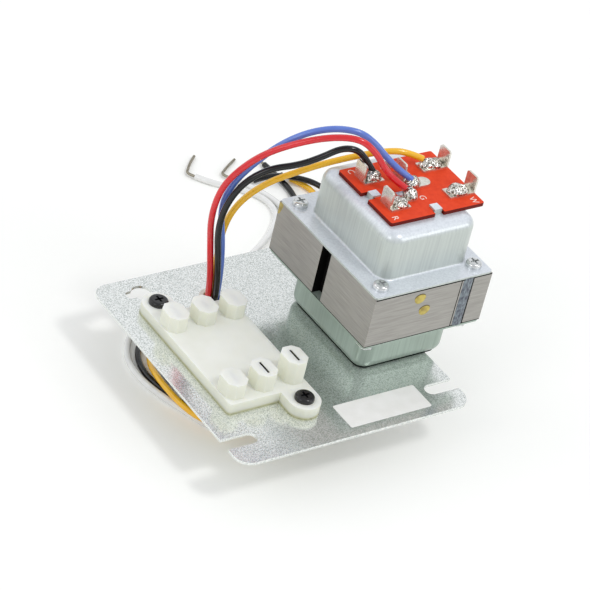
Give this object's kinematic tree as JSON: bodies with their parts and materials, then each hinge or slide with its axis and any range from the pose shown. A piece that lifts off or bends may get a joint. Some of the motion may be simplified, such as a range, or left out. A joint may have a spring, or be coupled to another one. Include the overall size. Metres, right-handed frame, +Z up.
{
  "type": "electrical transformer",
  "caption": "Laminated control transformer with a plug-in fan relay on a steel plate that closes a wiring box, with terminal tabs, jumpers and loose leads.",
  "frame": {"origin": "middle of the mounting plate's underside, which lies on the wiring box's rim", "axes": "+Z up through the transformer, +X along the plate's slotted front edge towards the transformer, +Y to the rear"},
  "size_m": [0.1518, 0.204, 0.109],
  "materials": {
    "zinc_sheet": "galvanised",
    "core_iron": "varnished",
    "weld_metal": "satin",
    "spool_nylon": "satin",
    "copper_turns": "enamelled",
    "wrap_tape": "satin",
    "screw_steel": "plated",
    "board_fibre": "satin",
    "tinned_brass": "tinned",
    "solder": "bright",
    "bushing_nylon": "satin",
    "relay_nylon": "satin",
    "black_steel": "gloss",
    "relay_iron": "plated",
    "contact_metal": "bright",
    "red_pvc": "gloss",
    "black_pvc": "gloss",
    "blue_pvc": "gloss",
    "yellow_pvc": "gloss",
    "white_pvc": "gloss",
    "bare_copper": "tinned"
  },
  "bodies": {
    "transformer": {"mounting_plate": "zinc_sheet", "lower_bell": "zinc_sheet", "upper_bell": "zinc_sheet", "e_laminations": "core_iron", "i_laminations": "core_iron", "weld_beads": "weld_metal", "coil_bobbin": "spool_nylon", "relay_spool": "spool_nylon", "primary_winding": "copper_turns", "secondary_winding": "copper_turns", "relay_winding": "copper_turns", "coil_wrap": "wrap_tape", "clamp_screws": "screw_steel", "clamp_nuts": "screw_steel", "return_spring": "screw_steel", "terminal_board": "board_fibre", "terminal_c": "tinned_brass", "terminal_r": "tinned_brass", "terminal_g": "tinned_brass", "terminal_y": "tinned_brass", "terminal_w": "tinned_brass", "board_eyelets": "tinned_brass", "relay_blade_front_left": "tinned_brass", "relay_blade_front_middle": "tinned_brass", "relay_blade_front_right": "tinned_brass", "relay_blade_rear_left": "tinned_brass", "relay_blade_rear_middle": "tinned_brass", "relay_blade_rear_right": "tinned_brass", "solder_joints": "solder", "lead_bushing": "bushing_nylon", "jumper_bushing": "bushing_nylon", "relay_base": "relay_nylon", "relay_screws": "black_steel", "relay_yoke": "relay_iron", "relay_pole": "relay_iron", "armature_pin": "relay_iron", "fixed_contacts": "contact_metal", "jumper_red": "red_pvc", "jumper_black": "black_pvc", "lead_black_a": "black_pvc", "lead_black_b": "black_pvc", "jumper_blue": "blue_pvc", "jumper_yellow": "yellow_pvc", "lead_yellow": "yellow_pvc", "lead_white_a": "white_pvc", "lead_white_b": "white_pvc", "bare_end_white_a": "bare_copper", "bare_end_white_b": "bare_copper", "bare_end_black_a": "bare_copper", "bare_end_black_b": "bare_copper", "bare_end_yellow": "bare_copper"},
    "armature": {"relay_armature": "relay_iron", "contact_leaf": "contact_metal", "moving_contact": "contact_metal"}
  },
  "joints": [
    {"name": "armature_hinge", "type": "hinge", "parent": "transformer", "child": "armature", "pos_m": [-0.0205, -0.0134, -0.0029], "axis": [1, 0, 0], "range_deg": [0, 4], "stiffness_Nm_per_rad": 0.05, "springref_deg": -11.46, "deforming": ["return_spring"]}
  ]
}
